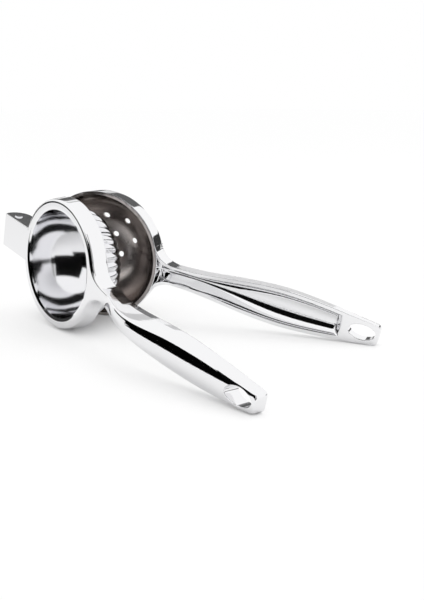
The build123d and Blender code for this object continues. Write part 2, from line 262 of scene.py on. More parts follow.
print("side walls lean in over", SPAN, "mm of depth")

# %% [markdown]
# The skin of an arm could be carved from a block, but a mirror needs rows of faces that flow along
# the form. So one row of points runs along the arm and is pulled round its section, with one
# extrusion for each row. The lower half is a mirror image, the seam is merged, and what stays open
# is filled.

# %% Pulling a skin from rows
SEAM = 0.002
SLIVER = 0.0005


def pull_rows(columns, kinds, shared_rows):
    """Pulls the first row of an arm into a skin, row by row, and mirrors it to the lower half."""
    bm = bmesh.new()
    line = [bm.verts.new(column[0]) for column in columns]
    for pair in zip(line, line[1:]):
        bm.edges.new(pair)
    for row in range(1, len(columns[0])):
        pulled = []
        for i in range(len(columns) - 1):
            same = row < shared_rows or kinds[i] == kinds[i + 1]
            if same and None not in (line[i], line[i + 1], columns[i][row], columns[i + 1][row]):
                pulled.append(bm.edges.get((line[i], line[i + 1])))
        made = bmesh.ops.extrude_edge_only(bm, edges=pulled)["geom"]
        fresh = {g for g in made if isinstance(g, bmesh.types.BMVert)}
        above = []
        for i, vert in enumerate(line):
            ends = [e.other_vert(vert) for e in vert.link_edges] if vert else []
            ends = [v for v in ends if v in fresh]
            above.append(ends[0] if ends else None)
            if ends:
                ends[0].co = columns[i][row]
        line = above
    half = bm.verts[:] + bm.edges[:] + bm.faces[:]
    bmesh.ops.mirror(bm, geom=half, axis="Z", merge_dist=SEAM)
    bmesh.ops.remove_doubles(bm, verts=bm.verts, dist=SEAM)
    bmesh.ops.dissolve_degenerate(bm, edges=bm.edges, dist=SLIVER)
    bmesh.ops.holes_fill(bm, edges=[e for e in bm.edges if e.is_boundary], sides=0)
    bmesh.ops.triangulate(bm, faces=[f for f in bm.faces if len(f.verts) > 4])
    print("open edges left", sum(not e.is_manifold for e in bm.edges))
    return bm


print("a seam closes over", SEAM, "mm")

# %% [markdown]
# The hinge is built of straight blocks, and the dome and the rings are round. A block is a flat
# shape pulled along the hinge axis, with its edges bevelled, and a round piece is a line spun
# about the axis of its ring. Ready cubes and cylinders could be cut to fit, but a drawn section
# has the right size at once.

# %% Straight and turned pieces
SHARP_EDGE = 0.6
BEVEL_STEPS = 3
TURN_SEAM = 0.005


def join(bm, part):
    """Adds the faces of one bmesh to another."""
    mesh = bpy.data.meshes.new("joined")
    part.to_mesh(mesh)
    part.free()
    bm.from_mesh(mesh)
    bpy.data.meshes.remove(mesh)


def prism(shape, low, high, soft):
    """A straight block with softened edges: a (u, v) shape carried along w."""
    part = bmesh.new()
    face = part.faces.new([part.verts.new((u, v, low)) for u, v in shape])
    pulled = bmesh.ops.extrude_face_region(part, geom=[face])
    moved = [g for g in pulled["geom"] if isinstance(g, bmesh.types.BMVert)]
    bmesh.ops.translate(part, verts=moved, vec=(0, 0, high - low))
    bmesh.ops.recalc_face_normals(part, faces=part.faces)
    edges = [e for e in part.edges if len(e.link_faces) == 2]
    bmesh.ops.bevel(
        part,
        geom=[e for e in edges if e.calc_face_angle() > SHARP_EDGE],
        offset=soft,
        affect="EDGES",
        segments=BEVEL_STEPS,
        profile=0.5,
        material=-1,
    )
    return part


def turned(profile, steps):
    """A shape turned about the ring axis from a line of (radius, v) points."""
    part = bmesh.new()
    line = [part.verts.new((RING_U + r, v, 0)) for r, v in profile]
    edges = [part.edges.new(pair) for pair in zip(line, line[1:])]
    bmesh.ops.spin(
        part,
        geom=line + edges,
        cent=(RING_U, 0, 0),
        axis=(0, 1, 0),
        angle=2 * math.pi,
        steps=steps,
        use_merge=True,
    )
    bmesh.ops.remove_doubles(part, verts=part.verts, dist=TURN_SEAM)
    return part


print("round pieces turn about u =", RING_U, "mm")

# %% [markdown]
# A finished mesh stands in for one node of the imported model, so it rides on the same body, and
# the node itself is hidden. Flat shading would show each face of a mirror, and plain smooth shading
# would bend the flat ones. So faces are smooth except across sharp edges, and a Weighted Normal
# modifier favours the large flat faces, which keeps mirrored lines straight.

# %% Showing a piece
FACE_WEIGHT = 90


def show(name, bm, matrix, body, node, material, sharp_angle):
    """Turns a bmesh in arm millimetres into a shown piece that stands for one node of the model."""
    bmesh.ops.recalc_face_normals(bm, faces=bm.faces)
    bm.transform(matrix)
    mesh = bpy.data.meshes.new(name)
    bm.to_mesh(mesh)
    bm.free()
    for polygon in mesh.polygons:
        polygon.use_smooth = True
    mesh.set_sharp_from_angle(angle=math.radians(sharp_angle))
    obj = bpy.data.objects.new(name, mesh)
    bpy.context.scene.collection.objects.link(obj)
    obj.data.materials.append(material)
    even = obj.modifiers.new("even normals", "WEIGHTED_NORMAL")
    even.keep_sharp = True
    even.weight = FACE_WEIGHT
    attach(obj, body)
    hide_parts(node)
    print(name, "faces", len(mesh.polygons))


print("nodes of the model:", sorted(frame["nodes"]))

# %% [markdown]
# Polishing leaves marks: fine scratches that run one way, and cloudy patches where the mirror is a
# little duller. Painted pictures could hold them, but noise has no seams and needs no file. All
# the metals of the press share the effect, so it is one node group, and each metal sets how strong
# it is.

# %% Polish marks
SCRATCH_SCALE = (300.0, 900.0, 2600.0)
SCRATCH_DETAIL = 4.0
SCRATCH_DEPTH = 0.0002
CLOUD_SCALE = 60.0
CLOUD_DETAIL = 3.0


def scratch_group():
    """Shared effect: roughness and normal of a polished surface with fine scratches."""
    group = bpy.data.node_groups.new("polish marks", "ShaderNodeTree")
    for name in ("Level", "Blur", "Bump"):
        group.interface.new_socket(name, in_out="INPUT", socket_type="NodeSocketFloat")
    group.interface.new_socket("Roughness", in_out="OUTPUT", socket_type="NodeSocketFloat")
    group.interface.new_socket("Normal", in_out="OUTPUT", socket_type="NodeSocketVector")
    nodes, links = group.nodes, group.links
    enter = nodes.new("NodeGroupInput")
    leave = nodes.new("NodeGroupOutput")
    place = nodes.new("ShaderNodeTexCoord")
    stretch = nodes.new("ShaderNodeMapping")
    stretch.inputs["Scale"].default_value = SCRATCH_SCALE
    fine = nodes.new("ShaderNodeTexNoise")
    fine.inputs["Scale"].default_value = 1.0
    fine.inputs["Detail"].default_value = SCRATCH_DETAIL
    cloud = nodes.new("ShaderNodeTexNoise")
    cloud.inputs["Scale"].default_value = CLOUD_SCALE
    cloud.inputs["Detail"].default_value = CLOUD_DETAIL
    blur = nodes.new("ShaderNodeMath")
    blur.operation = "MULTIPLY_ADD"
    bump = nodes.new("ShaderNodeBump")
    bump.inputs["Distance"].default_value = SCRATCH_DEPTH
    links.new(place.outputs["Object"], stretch.inputs["Vector"])
    links.new(stretch.outputs["Vector"], fine.inputs["Vector"])
    links.new(place.outputs["Object"], cloud.inputs["Vector"])
    links.new(cloud.outputs["Fac"], blur.inputs[0])
    links.new(enter.outputs["Blur"], blur.inputs[1])
    links.new(enter.outputs["Level"], blur.inputs[2])
    links.new(fine.outputs["Fac"], bump.inputs["Height"])
    links.new(enter.outputs["Bump"], bump.inputs["Strength"])
    links.new(blur.outputs["Value"], leave.inputs["Roughness"])
    links.new(bump.outputs["Normal"], leave.inputs["Normal"])
    return group


MARKS = scratch_group()
print("shared effect:", MARKS.name)

# %% [markdown]
# Four metals: the bright plating of the arms, the slightly greyer plating of the dome, the warm
# grey satin of the bowl and the plain steel of the pin. A metal has no colour of its own apart
# from what it mirrors, so the base colour only says how much it gives back, and the roughness says
# how sharply.

# %% Metals


def metal(name, colour, level, blur, bump):
    """A metal with its tint, least roughness, added roughness of dull patches and scratch height."""
    material = bpy.data.materials.new(name)
    material.use_nodes = True
    nodes, links = material.node_tree.nodes, material.node_tree.links
    surface = nodes["Principled BSDF"]
    surface.inputs["Base Color"].default_value = (*colour, 1.0)
    surface.inputs["Metallic"].default_value = 1.0
    marks = nodes.new("ShaderNodeGroup")
    marks.node_tree = MARKS
    marks.inputs["Level"].default_value = level
    marks.inputs["Blur"].default_value = blur
    marks.inputs["Bump"].default_value = bump
    links.new(marks.outputs["Roughness"], surface.inputs["Roughness"])
    links.new(marks.outputs["Normal"], surface.inputs["Normal"])
    return material


CHROME = metal("plated casting", (0.92, 0.92, 0.93), 0.02, 0.05, 0.03)
DOME = metal("plated dome", (0.87, 0.87, 0.89), 0.07, 0.07, 0.05)
SATIN = metal("satin bowl", (0.52, 0.48, 0.46), 0.12, 0.1, 0.1)
PIN = metal("pin steel", (0.75, 0.75, 0.78), 0.12, 0.1, 0.05)
print("metals", [m.name for m in (CHROME, DOME, SATIN, PIN)])

# %% [markdown]
# The front of the press arm is flat on the ring and the neck. Past the neck it rises into a
# crowned grip that is arched across, and a crisp ridge parts it from the drafted side. The arch
# could be a subdivided cage, but the ridge would go soft, so the height of the face is a formula
# and the ridge is where the face meets the wall.

# %% Front of the press arm
FRONT = 5.0
CROWN = ((98.0, 5.0), (126.0, 13.4), (163.0, 14.0), (222.0, 6.9))
CROWN_END = -math.tan(math.radians(12.0))
CROWN_ROUND = 18.0
CROWN_WIDE = 14.0
CROWN_FULL_U = 112.0
EDGE_PASSES = 4


def press_front(u, w):
    """Depth of the front face: flat on ring and neck, crowned and round across on the grip."""
    start_u = CROWN[0][0]
    if u < start_u:
        return -FRONT
    drop = CROWN_ROUND - math.sqrt(CROWN_ROUND**2 - min(w, CROWN_WIDE) ** 2)
    return drop * smooth(start_u, CROWN_FULL_U, u) - spline(CROWN, 0.0, CROWN_END, u)


def press_edge(rim, deep):
    """Where the drafted side meets the front face."""
    edge = wall_point(rim, deep, TO_FRONT, -FRONT)
    for _ in range(EDGE_PASSES):
        edge = wall_point(rim, deep, TO_FRONT, press_front(edge.x, edge.z))
    return edge


print("crown stands", round(-press_front(GRIP_U, 0.0), 2), "mm from the middle of the grip")

# %% [markdown]
# A section of the front starts at the hole or the middle line, crosses the face and turns over the
# ridge. Round the opening a shallow slope mirrors the dark side of the room as a thin black line,
# and the eye only has its edge softened. A bevel could do both, but here each edge needs its own
# width and depth.

# %% Front rows of the press arm
LIPS = {"ring": (1.7, 0.62), "eye": (0.5, 0.5), "web": (0.0, 0.0)}
LIP_SHARE = 0.4
EDGE_SHARE = 0.3
LEAST_SPAN = 0.001
LIP_STEPS = 3
FACE_STEPS = 12
RIDGE_STEPS = 5


def front_rows(partner, edge, side, ridge):
    """Rows from the hole or the middle line across the front and over the ridge."""
    inner_u, inner_w, kind = partner

    def front_at(t):
        u, w = mix(inner_u, edge.x, t), mix(inner_w, edge.z, t)
        return Vector((u, press_front(u, w), w))

    inner = front_at(0.0)
    span = max((edge - inner).length, LEAST_SPAN)
    lip_wide, lip_deep = LIPS[kind]
    start = min(lip_wide, span * LIP_SHARE) / span
    stop = 1.0 - min(ridge, span * EDGE_SHARE) / span
    rows = [inner] * LIP_STEPS
    if kind != "web":
        low = inner + Vector((0, lip_deep, 0))
        corner = (low + front_at(start)) / 2 if kind == "ring" else inner
        rows = [low] + bend_corner(low, corner, front_at(start), LIP_STEPS)
    rows += [front_at(mix(start, stop, k / FACE_STEPS)) for k in range(FACE_STEPS + 1)]
    return rows + bend_corner(front_at(stop), edge, side, RIDGE_STEPS)


print("lip round the opening", LIPS["ring"], "mm wide and deep")

# %% [markdown]
# Behind, the ring has a bore that seats the dome under a thin lip, and the grip is hollow to save
# metal. A hollow could be a second shell, but one skin that turns in at the back edge keeps the
# piece closed.

# %% Back rows of the press arm
LIP = 2.4
BORE = 33.2
OPENING = 30.7
BORE_STEPS = 3
UNDER_STEP = 0.3
WALL = 2.0
WALL_SHARE = 0.4
TROUGH_END = 201.5
HOLLOW_STARTS = (108.0, 112.0)
HOLLOW_STOPS = (TROUGH_END - 3, TROUGH_END)
HOLLOW_SQUARE = 0.6
HOLLOW_STEPS = 5


def bore_rows(partner, first):
    """Rows down the bore and back under the lip to the first row."""
    out = Vector((partner[0] - RING_U, 0, partner[1])).normalized()
    centre = Vector((RING_U, 0, 0))
    lip_v = LIP - FRONT
    top = centre + out * BORE + Vector((0, RIM, 0))
    low = centre + out * BORE + Vector((0, lip_v, 0))
    under = centre + out * OPENING + Vector((0, lip_v, 0))
    rows = [top.lerp(low, k / BORE_STEPS) for k in range(BORE_STEPS + 1)]
    return rows + [under.lerp(first, k * UNDER_STEP) for k in range(3)] + [first.copy()]


def hollow_rows(partner, edge, back, inward, back_v, first):
    """Rows into the hollow of the grip, and through the eye where there is one."""
    _, reach = inward_of(partner, back)
    depth = smooth(*HOLLOW_STARTS, edge.x) * (1 - smooth(*HOLLOW_STOPS, edge.x))
    floor = mix(back_v, press_front(edge.x, 0.0) + LIP, depth)
    near = min(WALL, reach * WALL_SHARE)
    rows = []
    for k in range(HOLLOW_STEPS + 1):
        a = math.pi / 2 * k / HOLLOW_STEPS
        along = near + (reach - near) * (1 - math.cos(a) ** HOLLOW_SQUARE)
        sink = (floor - back_v) * math.sin(a) ** HOLLOW_SQUARE
        rows.append(back + inward * along + Vector((0, sink, 0)))
    if partner[2] == "eye":
        return rows + [rows[-1].lerp(first, 0.5), first.copy()]
    return rows + [None, None]


print("bore", 2 * BORE, "mm, opening", 2 * OPENING, "mm across")

# %% [markdown]
# Each section of the arm joins those rows: front, ridge, drafted side, a slim facet that leans in
# along the back of the neck and grip, a small turn over the back edge, and then the bore or the
# hollow. Separate meshes could be laid side by side, but one closed skin leaves no gaps for a
# mirror to show.

# %% Sections of the press arm
RIDGE_RING = 1.7
RIDGE_GRIP = 1.0
RIDGE_THINS = (100.0, 116.0)
PRESS_BACK = ((106.0, 4.5), (125.0, -1.0), (163.0, -3.4), (222.0, -0.2))
PRESS_BACK_SLOPES = (-0.36, 0.06)
NECK_STARTS = (88.0, 97.0)
GRIP_STARTS = (122.0, 126.0)
FACET_FADES = (130.0, 222.0)
NECK_FACET = 6.0
GRIP_FACET = 3.0
NECK_LEAN = 0.13
GRIP_LEAN = 0.11
BACK_ROUND = 0.6
BACK_TURN = 0.4
FACET_CREASE = 0.06
SIDE_STEPS = 6
TURN_STEPS = 3


def press_column(rim, deep, partner):
    """Rows of one section, and how many of them every section has."""
    edge = press_edge(rim, deep)
    ridge = mix(RIDGE_RING, RIDGE_GRIP, smooth(*RIDGE_THINS, edge.x))
    on_ring = edge.x < PRESS_BACK[0][0]
    back_v = RIM if on_ring else spline(PRESS_BACK, *PRESS_BACK_SLOPES, edge.x)
    back = wall_point(rim, deep, TO_FRONT, back_v)
    fall = (back - edge).normalized()
    side = edge + fall * ridge
    rows = front_rows(partner, edge, side, ridge)
    inward, _ = inward_of(partner, back)
    past_neck = smooth(*GRIP_STARTS, edge.x)
    facet = BACK_ROUND + NECK_FACET * smooth(*NECK_STARTS, edge.x) * (1 - past_neck)
    facet += GRIP_FACET * past_neck * (1 - smooth(*FACET_FADES, edge.x))
    low = back - fall * facet
    back = back + inward * facet * mix(NECK_LEAN, GRIP_LEAN, past_neck)
    slope = (back - low).normalized()
    rows += [side.lerp(low, k / SIDE_STEPS) for k in range(SIDE_STEPS + 1)]
    turn_from = back - slope * BACK_TURN
    turn_to = back + inward * min(BACK_TURN, inward_of(partner, back)[1] * EDGE_SHARE)
    rows += [low + slope * FACET_CREASE, turn_from]
    rows += bend_corner(turn_from, back, turn_to, TURN_STEPS) + [turn_to]
    shared = len(rows)
    if partner[2] == "ring":
        return rows + bore_rows(partner, rows[0]), shared
    return rows + hollow_rows(partner, edge, back, inward, back_v, rows[0]), shared


print("facet along the neck", NECK_FACET, "mm, along the grip", GRIP_FACET, "mm")

# %% [markdown]
# The arm ends in a fork: a flat slab that carries on the front face, with two round prongs that
# hold the pin. It could be pulled out of the ring's own faces, but three plain blocks that reach
# into the ring give clean edges and leave a true slot between the prongs.

# %% Press arm
PRESS_RING = 37.56
PRESS_HALVES = (4.9, 11.5, 5.76)
PRESS_DEEP_HALVES = (7.95, 11.5, 9.31)
PRESS_DRAFT = 5.05
RING_DRAFT = 2.3
KNUCKLE = 9.0
KNUCKLE_HALF = 10.0
KNUCKLE_STEPS = 28
FORK_U = 21.0
FORK_SKIN = 0.04
SLAB_BACK = -4.0
SLAB_SOFT = 0.3
PRONG_STEP = 0.4
PRONG_SOFT = 0.4
ARM_SHARP = 40


def add_fork(bm):
    """Front slab and two round prongs of the hinge."""
    face_v = FORK_SKIN - FRONT
    prong_v, back_v = face_v + PRONG_STEP, RIM - FORK_SKIN
    start = math.asin(back_v / KNUCKLE)
    stop = math.pi + math.asin(-prong_v / KNUCKLE)
    turn = [mix(start, stop, k / KNUCKLE_STEPS) for k in range(KNUCKLE_STEPS + 1)]
    prong = [(KNUCKLE * math.cos(a), KNUCKLE * math.sin(a)) for a in turn]
    prong += [(FORK_U, prong_v), (FORK_U, back_v)]
    join(bm, prism(prong, KNUCKLE_HALF / 2, KNUCKLE_HALF, PRONG_SOFT))
    join(bm, prism(prong, -KNUCKLE_HALF, -KNUCKLE_HALF / 2, PRONG_SOFT))
    slab = [(-math.sqrt(KNUCKLE**2 - face_v**2), face_v), (FORK_U, face_v)]
    slab += [(FORK_U, SLAB_BACK), (-math.sqrt(KNUCKLE**2 - SLAB_BACK**2), SLAB_BACK)]
    join(bm, prism(slab, -KNUCKLE_HALF, KNUCKLE_HALF, SLAB_SOFT))


def press_arm_mesh():
    """Skin of the press arm with its fork."""
    rim_points, angle = outline(PRESS_RING, PRESS_HALVES, 0.0)
    deep_points, _ = outline(PRESS_RING - RING_DRAFT, PRESS_DEEP_HALVES, PRESS_DRAFT)
    path = inner_path(rim_points, angle, OPENING, LIPS["ring"][0])
    made = [press_column(*section) for section in zip(rim_points, deep_points, path)]
    bm = pull_rows([rows for rows, _ in made], [kind for _, _, kind in path], made[0][1])
    add_fork(bm)
    return bm


press_mesh = press_arm_mesh()
show(
    "press_arm_cast", press_mesh, PRESS, "press", "press_arm", CHROME, ARM_SHARP
)

# %% [markdown]
# The dome that does the squeezing is a hollow half ball with rounded ribs outside and a smooth
# turned inside. The ribs could be separate wedges, but they melt into the ball, so the ball is one
# turned profile and the ribs are a wave in its radius that fades towards the nose.

# %% Ribbed dome
RIBS = 36
STEPS_PER_RIB = 12
RIB_DEPTH = 1.3
RIB_FADES = (0.86, 0.95)
DOME_RADIUS = 32.6
DOME_HEIGHT = 24.0
DOME_STEPS = 48
FLANGE_RADIUS = 35.0
FLANGE_TOP = RIM + 2.0
HOLLOW_TIP = 28.4
SEAT_GAP = 0.05
ON_BALL = 0.002
UNDER_BALL = -0.001
NOSE = 0.01
DOME_SHARP = 50


def dome_mesh():
    """Turned dome with its flange, and the ribs pressed into its outside."""
    back, seat = LIP - FRONT, BORE - SEAT_GAP
    quarter = [math.pi / 2 * k / DOME_STEPS for k in range(DOME_STEPS + 1)]
    profile = []
    for a in quarter[::-1]:
        profile.append((OPENING * math.cos(a), back + (HOLLOW_TIP - back) * math.sin(a)))
    profile += [(seat, back), (seat, RIM), (FLANGE_RADIUS, RIM), (FLANGE_RADIUS, FLANGE_TOP)]
    for a in quarter:
        profile.append((DOME_RADIUS * math.cos(a), FLANGE_TOP + DOME_HEIGHT * math.sin(a)))
    bm = turned(profile, RIBS * STEPS_PER_RIB)
    for vert in bm.verts:
        x, z = vert.co.x - RING_U, vert.co.z
        rise, size = (vert.co.y - FLANGE_TOP) / DOME_HEIGHT, math.hypot(x, z) / DOME_RADIUS
        on_ball = rise > UNDER_BALL and abs(math.hypot(size, rise) - 1) < ON_BALL
        if on_ball and size > NOSE:
            swing = abs(math.sin(RIBS * math.atan2(z, x) / 2))
            dip = RIB_DEPTH * (1 - swing) * (1 - smooth(*RIB_FADES, rise)) / DOME_RADIUS
            vert.co.x, vert.co.z = RING_U + x * (1 - dip), z * (1 - dip)
    return bm


show("press_dome_ribbed", dome_mesh(), PRESS, "press", "press_dome", DOME, DOME_SHARP)

# %% [markdown]
# The handle of the strainer arm is an open trough with thin rims, and it ends in a flat tab with
# an eye. A trough could be a block with a groove cut in it, but pulled rows give an even wall, and
# a quarter ellipse from the rim to the middle line gives the round bottom that the long
# reflections follow.

# %% Strainer handle
STRAINER_DRAFT = 2.0
RING_WALL = 1.0
RIM_RISE = ((93.0, 4.5), (NECK_U, 5.5), (END_U, 9.8))
BACK_V = 16.5
STRAINER_BACK = ((103.0, 16.5), (163.0, 16.8), (222.0, 14.58))
STRAINER_BACK_SLOPES = (0.03, -0.06)
RIM_ROUND = 0.35
RIM_SHARE = 0.2
TROUGH_SHARE = 0.5
TROUGH_STOPS = (TROUGH_END - 4.5, TROUGH_END)
TROUGH_STEPS = 14
EYE_ROUND = 0.6
EYE_STEPS = 4
FLAT_STEPS = 4
FLAT_SHARE = 0.98


def strainer_rim(u):
    """Depth of the rim: it climbs a little in the neck and then along the handle."""
    (ring_u, ring_v), (neck_u, neck_v), (end_u, end_v) = RIM_RISE
    if u < neck_u:
        return mix(ring_v, neck_v, min(max((u - ring_u) / (neck_u - ring_u), 0.0), 1.0))
    return mix(neck_v, end_v, (u - neck_u) / (end_u - neck_u))


def strainer_column(rim, deep, partner):
    """Rows of one section: flat back, side, rim and trough, and how many every section has."""
    u, rim_v = rim[0], strainer_rim(rim[0])
    back_v = BACK_V if u < NECK_U else spline(STRAINER_BACK, *STRAINER_BACK_SLOPES, u)
    edge = wall_point(rim, deep, TO_BACK, rim_v)
    back = wall_point(rim, deep, TO_BACK, back_v)
    fall = (back - edge).normalized()
    back_in = Vector((partner[0] - back.x, 0, partner[1] - back.z))
    low, high = back - fall * BACK_ROUND, edge + fall * RIM_ROUND
    turn_from = back + back_in.normalized() * min(BACK_ROUND, back_in.length * EDGE_SHARE)
    shares = [1.0] + [(1 - k / FLAT_STEPS) * FLAT_SHARE for k in range(1, FLAT_STEPS)]
    rows = [back + back_in * share for share in shares] + [turn_from]
    rows += bend_corner(turn_from, back, low, TURN_STEPS)
    rows += [low.lerp(high, k / SIDE_STEPS) for k in range(SIDE_STEPS + 1)]
    inward, reach = inward_of(partner, edge)
    rim_in = edge + inward * min(RIM_ROUND, reach * RIM_SHARE)
    rows += bend_corner(high, edge, rim_in, TURN_STEPS) + [rim_in]
    sink = mix(rim_v, back_v - LIP, 1 - smooth(*TROUGH_STOPS, u)) - rim_v
    wall = min(WALL, reach * TROUGH_SHARE)
    lip = EYE_ROUND if partner[2] == "eye" else 0.0
    for k in range(TROUGH_STEPS + 1):
        a = math.pi / 2 * k / TROUGH_STEPS
        along = wall + (reach - lip - wall) * (1 - math.cos(a))
        rows.append(edge + inward * along + Vector((0, sink * math.sin(a), 0)))
    shared = len(rows)
    if partner[2] != "eye":
        return rows + [None] * (EYE_STEPS + 2), shared
    corner = edge + inward * reach
    bore = corner + Vector((0, lip, 0))
    rows += bend_corner(rows[-1], corner, bore, EYE_STEPS)
    return rows + [bore, bore.lerp(rows[0], 0.5), rows[0].copy()], shared


def strainer_handle():
    """Skin of the neck and the handle; the ring is a turned piece of its own."""
    rim_points, angle = outline(STRAINER_RING, STRAINER_HALVES, 0.0)
    deep_points, _ = outline(STRAINER_RING - RING_DRAFT, STRAINER_HALVES, STRAINER_DRAFT)
    path = inner_path(rim_points, angle, STRAINER_RING - RING_WALL, 0.0)
    sections = list(zip(rim_points, deep_points, path))[RING_STEPS:]
    made = [strainer_column(*section) for section in sections]
    kinds = ["eye" if partner[2] == "eye" else "web" for _, _, partner in sections]
    return pull_rows([rows for rows, _ in made], kinds, made[0][1])


handle = strainer_handle()

# %% [markdown]
# The ring of the strainer arm is a thin hoop: drafted outside, with a fine double edge in front,
# and round inside to seat the bowl. It could be pulled in the same rows as the handle, but a
# turned hoop is truly round. A bent tongue behind it reaches between the prongs of the fork, where
# the pin goes through.

# %% Strainer ring and tongue
SEAT_BALL = 37.05
SEAT_TOP = 5.35
SEAT_STEPS = 8
HOOP_EDGE = ((37.4, SEAT_TOP), (37.4, 4.62), (37.52, RIM), (37.8, RIM), (37.92, 4.56))
HOOP_TOP, HOOP_LOW = (37.95, 4.75), (36.55, 16.2)
HOOP_TURN = ((36.4, 16.42), (36.2, BACK_V))
HOOP_STEPS = 6
HOOP_TURNS = 256
TONGUE_ROUND = 3.7
TONGUE_BEND = ((-2.5, 9.6), (19.5, 11.6), (19.5, 4.8), (TONGUE_ROUND, 4.8))
TONGUE_STEPS = 12
TONGUE_HALF = 4.7
TONGUE_SOFT = 0.2


def add_hoop(bm):
    """Turned hoop that carries the bowl."""
    hoop = list(HOOP_EDGE)
    for k in range(HOOP_STEPS + 1):
        hoop.append(tuple(mix(a, b, k / HOOP_STEPS) for a, b in zip(HOOP_TOP, HOOP_LOW)))
    hoop += HOOP_TURN
    for k in range(SEAT_STEPS, -1, -1):
        v = mix(SEAT_TOP, BACK_V, k / SEAT_STEPS)
        hoop.append((math.sqrt(SEAT_BALL**2 - (v - RIM) ** 2), v))
    join(bm, turned(hoop + hoop[:1], HOOP_TURNS))


def add_tongue(bm):
    """Tongue of the hinge, rounded about the pin."""
    tongue = [(-TONGUE_ROUND, 0.0), *TONGUE_BEND]
    for k in range(TONGUE_STEPS):
        a = -math.pi * k / TONGUE_STEPS
        tongue.append((TONGUE_ROUND * math.cos(a), TONGUE_ROUND * math.sin(a)))
    join(bm, prism(tongue, -TONGUE_HALF, TONGUE_HALF, TONGUE_SOFT))


add_hoop(handle)
add_tongue(handle)
show(
    "strainer_arm_cast",
    handle,
    STRAINER,
    "strainer",
    "strainer_arm",
    CHROME,
    ARM_SHARP,
)

# %% [markdown]
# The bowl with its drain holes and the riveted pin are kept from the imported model. They could be
# turned again too, but a satin finish hides small facets, so the meshes stay and only get their
# metals.

# %% Bowl and pin
for node, material in (("strainer_bowl", SATIN), ("hinge_pin", PIN)):
    kept = frame["nodes"][node]
    kept.data.materials.clear()
    kept.data.materials.append(material)
    print("kept from the model:", node, "in", material.name)

# %% [markdown]
# The press stands on a plain pale floor. A lit grey floor would make the whole picture grey, and a
# pure white one would lose the shadow. So the floor is mostly seen as white paper, by the eye and
# in mirrors, and less so close to the metal, where ambient occlusion lets the shaded floor show.

# %% Floor
FLOOR_HALF = 4.0
FLOOR_COLOUR = (0.96, 0.96, 0.96, 1.0)
FLOOR_ROUGH = 0.6
FLOOR_SHINE = 0.1
FLOOR_PAPER = 0.85
CONTACT = 0.09
CONTACT_SAMPLES = 8


def floor_paper():
    """Pale floor: a share of it reads as white paper, and the rest takes the shadow."""
    material = bpy.data.materials.new("pale floor")
    material.use_nodes = True
    nodes, links = material.node_tree.nodes, material.node_tree.links
    surface = nodes["Principled BSDF"]
    surface.inputs["Base Color"].default_value = FLOOR_COLOUR
    surface.inputs["Roughness"].default_value = FLOOR_ROUGH
    surface.inputs["Specular IOR Level"].default_value = FLOOR_SHINE
    white = nodes.new("ShaderNodeEmission")
    white.inputs["Strength"].default_value = 1.0
    path = nodes.new("ShaderNodeLightPath")
    clear = nodes.new("ShaderNodeAmbientOcclusion")
    clear.inputs["Distance"].default_value = CONTACT
    clear.samples = CONTACT_SAMPLES
    seen, seen_through, share, open_share = (nodes.new("ShaderNodeMath") for _ in range(4))
    seen.operation = seen_through.operation = "MAXIMUM"
    share.operation = open_share.operation = "MULTIPLY"
    share.inputs[1].default_value = FLOOR_PAPER
    blend = nodes.new("ShaderNodeMixShader")
    links.new(path.outputs["Is Camera Ray"], seen.inputs[0])
    links.new(path.outputs["Is Glossy Ray"], seen.inputs[1])
    links.new(seen.outputs["Value"], seen_through.inputs[0])
    links.new(path.outputs["Is Transmission Ray"], seen_through.inputs[1])
    links.new(seen_through.outputs["Value"], share.inputs[0])
    links.new(share.outputs["Value"], open_share.inputs[0])
    links.new(clear.outputs["AO"], open_share.inputs[1])
    links.new(open_share.outputs["Value"], blend.inputs["Fac"])
    links.new(surface.outputs["BSDF"], blend.inputs[1])
    links.new(white.outputs["Emission"], blend.inputs[2])
    links.new(blend.outputs["Shader"], nodes["Material Output"].inputs["Surface"])
    return material


floor_bm = bmesh.new()
bmesh.ops.create_grid(floor_bm, x_segments=1, y_segments=1, size=FLOOR_HALF)
floor_mesh = bpy.data.meshes.new("floor")
floor_bm.to_mesh(floor_mesh)
floor_bm.free()
floor = bpy.data.objects.new("floor", floor_mesh)
bpy.context.scene.collection.objects.link(floor)
floor.data.materials.append(floor_paper())
print("floor", 2 * FLOOR_HALF, "m across")

# %% [markdown]
# The light is plain and soft: a white sky all round, and one wide lamp above that gives the shadow
# a direction. A picture of a room could light the press too, but it would bring its own colours.
# Mirrors do not see the lamp, so it leaves no round spot on the metal.

# %% Sky and lamp
LAMP_PLACE = Vector((0.3, 0.5, 1.1))
LAMP_SIZE = 0.8
LAMP_POWER = 3.0
world = bpy.data.worlds.new("soft white")
bpy.context.scene.world = world
world.use_nodes = True
sky = world.node_tree.nodes["Background"]
sky.inputs["Color"].default_value = (1.0, 1.0, 1.0, 1.0)
sky.inputs["Strength"].default_value = 1.0
bulb = bpy.data.lights.new("soft top lamp", "AREA")
bulb.shape = "DISK"
bulb.size = LAMP_SIZE
bulb.energy = LAMP_POWER
lamp = bpy.data.objects.new("soft top lamp", bulb)
lamp.location = LAMP_PLACE
lamp.rotation_euler = (-LAMP_PLACE).to_track_quat("-Z", "Y").to_euler()
lamp.visible_glossy = False
lamp.visible_camera = False
bpy.context.scene.collection.objects.link(lamp)
print("sky strength 1, lamp of", LAMP_POWER, "W")

# %% [markdown]
# A mirror shows only what stands around it, and in an all white room the metal would vanish. So,
# as a photographer does, cards are set up round the table: pale paper under the press, black cards
# round the near side, and a row of grey ones hung behind. Only mirrors see them: they throw no
# shadow, and the camera looks straight through them.

# %% Studio cards
CARD_MIDDLE = Vector((-0.045, -0.01, 0.0))
CARD_LIFT = 0.0008
PAPER_LIFT = 0.0002
CARD_STEPS = 24
CARD_ROUGH = 0.9


